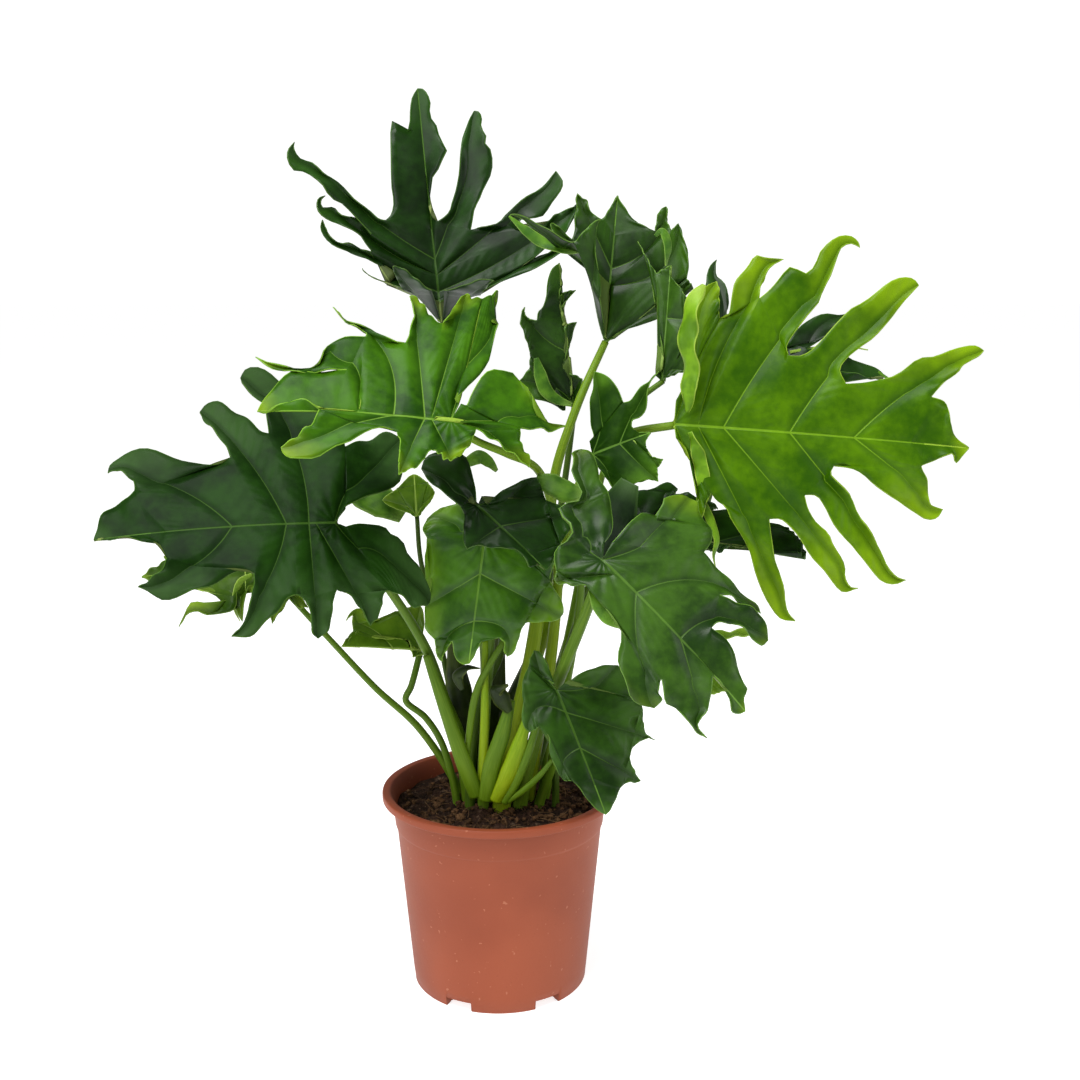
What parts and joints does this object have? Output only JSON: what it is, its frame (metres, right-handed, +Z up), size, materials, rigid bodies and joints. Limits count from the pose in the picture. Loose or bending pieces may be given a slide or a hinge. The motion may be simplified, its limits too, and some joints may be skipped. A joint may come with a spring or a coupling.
{
  "type": "potted philodendron",
  "caption": "Potted philodendron with large deeply lobed green leaves on slim stalks, standing in a round tapered plastic nursery pot filled with potting soil.",
  "frame": {"origin": "centre of the flat middle of the pot's underside, on the surface that it stands on", "axes": "+Z up along the pot's axis, -Y towards the plant's front, +X to the right as seen from the front"},
  "size_m": [0.5995, 0.2931, 0.6464],
  "materials": {
    "pot": "terracotta brown, satin",
    "soil": "loose dark peat, stands in for soil",
    "leaf_dark": "dark green leaf, semi-gloss, stands in for leaf tissue",
    "leaf_mid": "mid green leaf, semi-gloss, stands in for leaf tissue",
    "leaf_yellow_green": "young yellow-green leaf, semi-gloss, stands in for leaf tissue",
    "stalk": "smooth green stalk, stands in for plant tissue"
  },
  "bodies": {
    "root": {"pot": "pot", "soil": "soil", "blade_left_large": "leaf_dark", "stalk_left_large": "stalk", "blade_left_bright": "leaf_mid", "stalk_left_bright": "stalk", "blade_right_bright": "leaf_yellow_green", "stalk_right_bright": "stalk", "blade_top_left_dark": "leaf_dark", "stalk_top_left_dark": "stalk", "blade_top_folded": "leaf_dark", "stalk_top_folded": "stalk", "blade_top_narrow": "leaf_dark", "stalk_top_narrow": "stalk", "blade_right_rear": "leaf_dark", "stalk_right_rear": "stalk", "blade_front_right": "leaf_dark", "stalk_front_right": "stalk", "blade_centre_hanging": "leaf_mid", "stalk_centre_hanging": "stalk", "blade_centre_dark": "leaf_dark", "stalk_centre_dark": "stalk", "blade_rim_front": "leaf_dark", "stalk_rim_front": "stalk", "blade_centre_rear_spiky": "leaf_dark", "stalk_centre_rear_spiky": "stalk", "blade_centre_right_folded": "leaf_mid", "stalk_centre_right_folded": "stalk", "blade_young_centre": "leaf_mid", "stalk_young_centre": "stalk", "blade_left_low_curled": "leaf_mid", "stalk_left_low_curled": "stalk", "blade_left_low_small": "leaf_mid", "stalk_left_low_small": "stalk", "blade_right_low_dark": "leaf_dark", "stalk_right_low_dark": "stalk", "blade_right_low_small": "leaf_mid", "stalk_right_low_small": "stalk"}
  },
  "joints": []
}
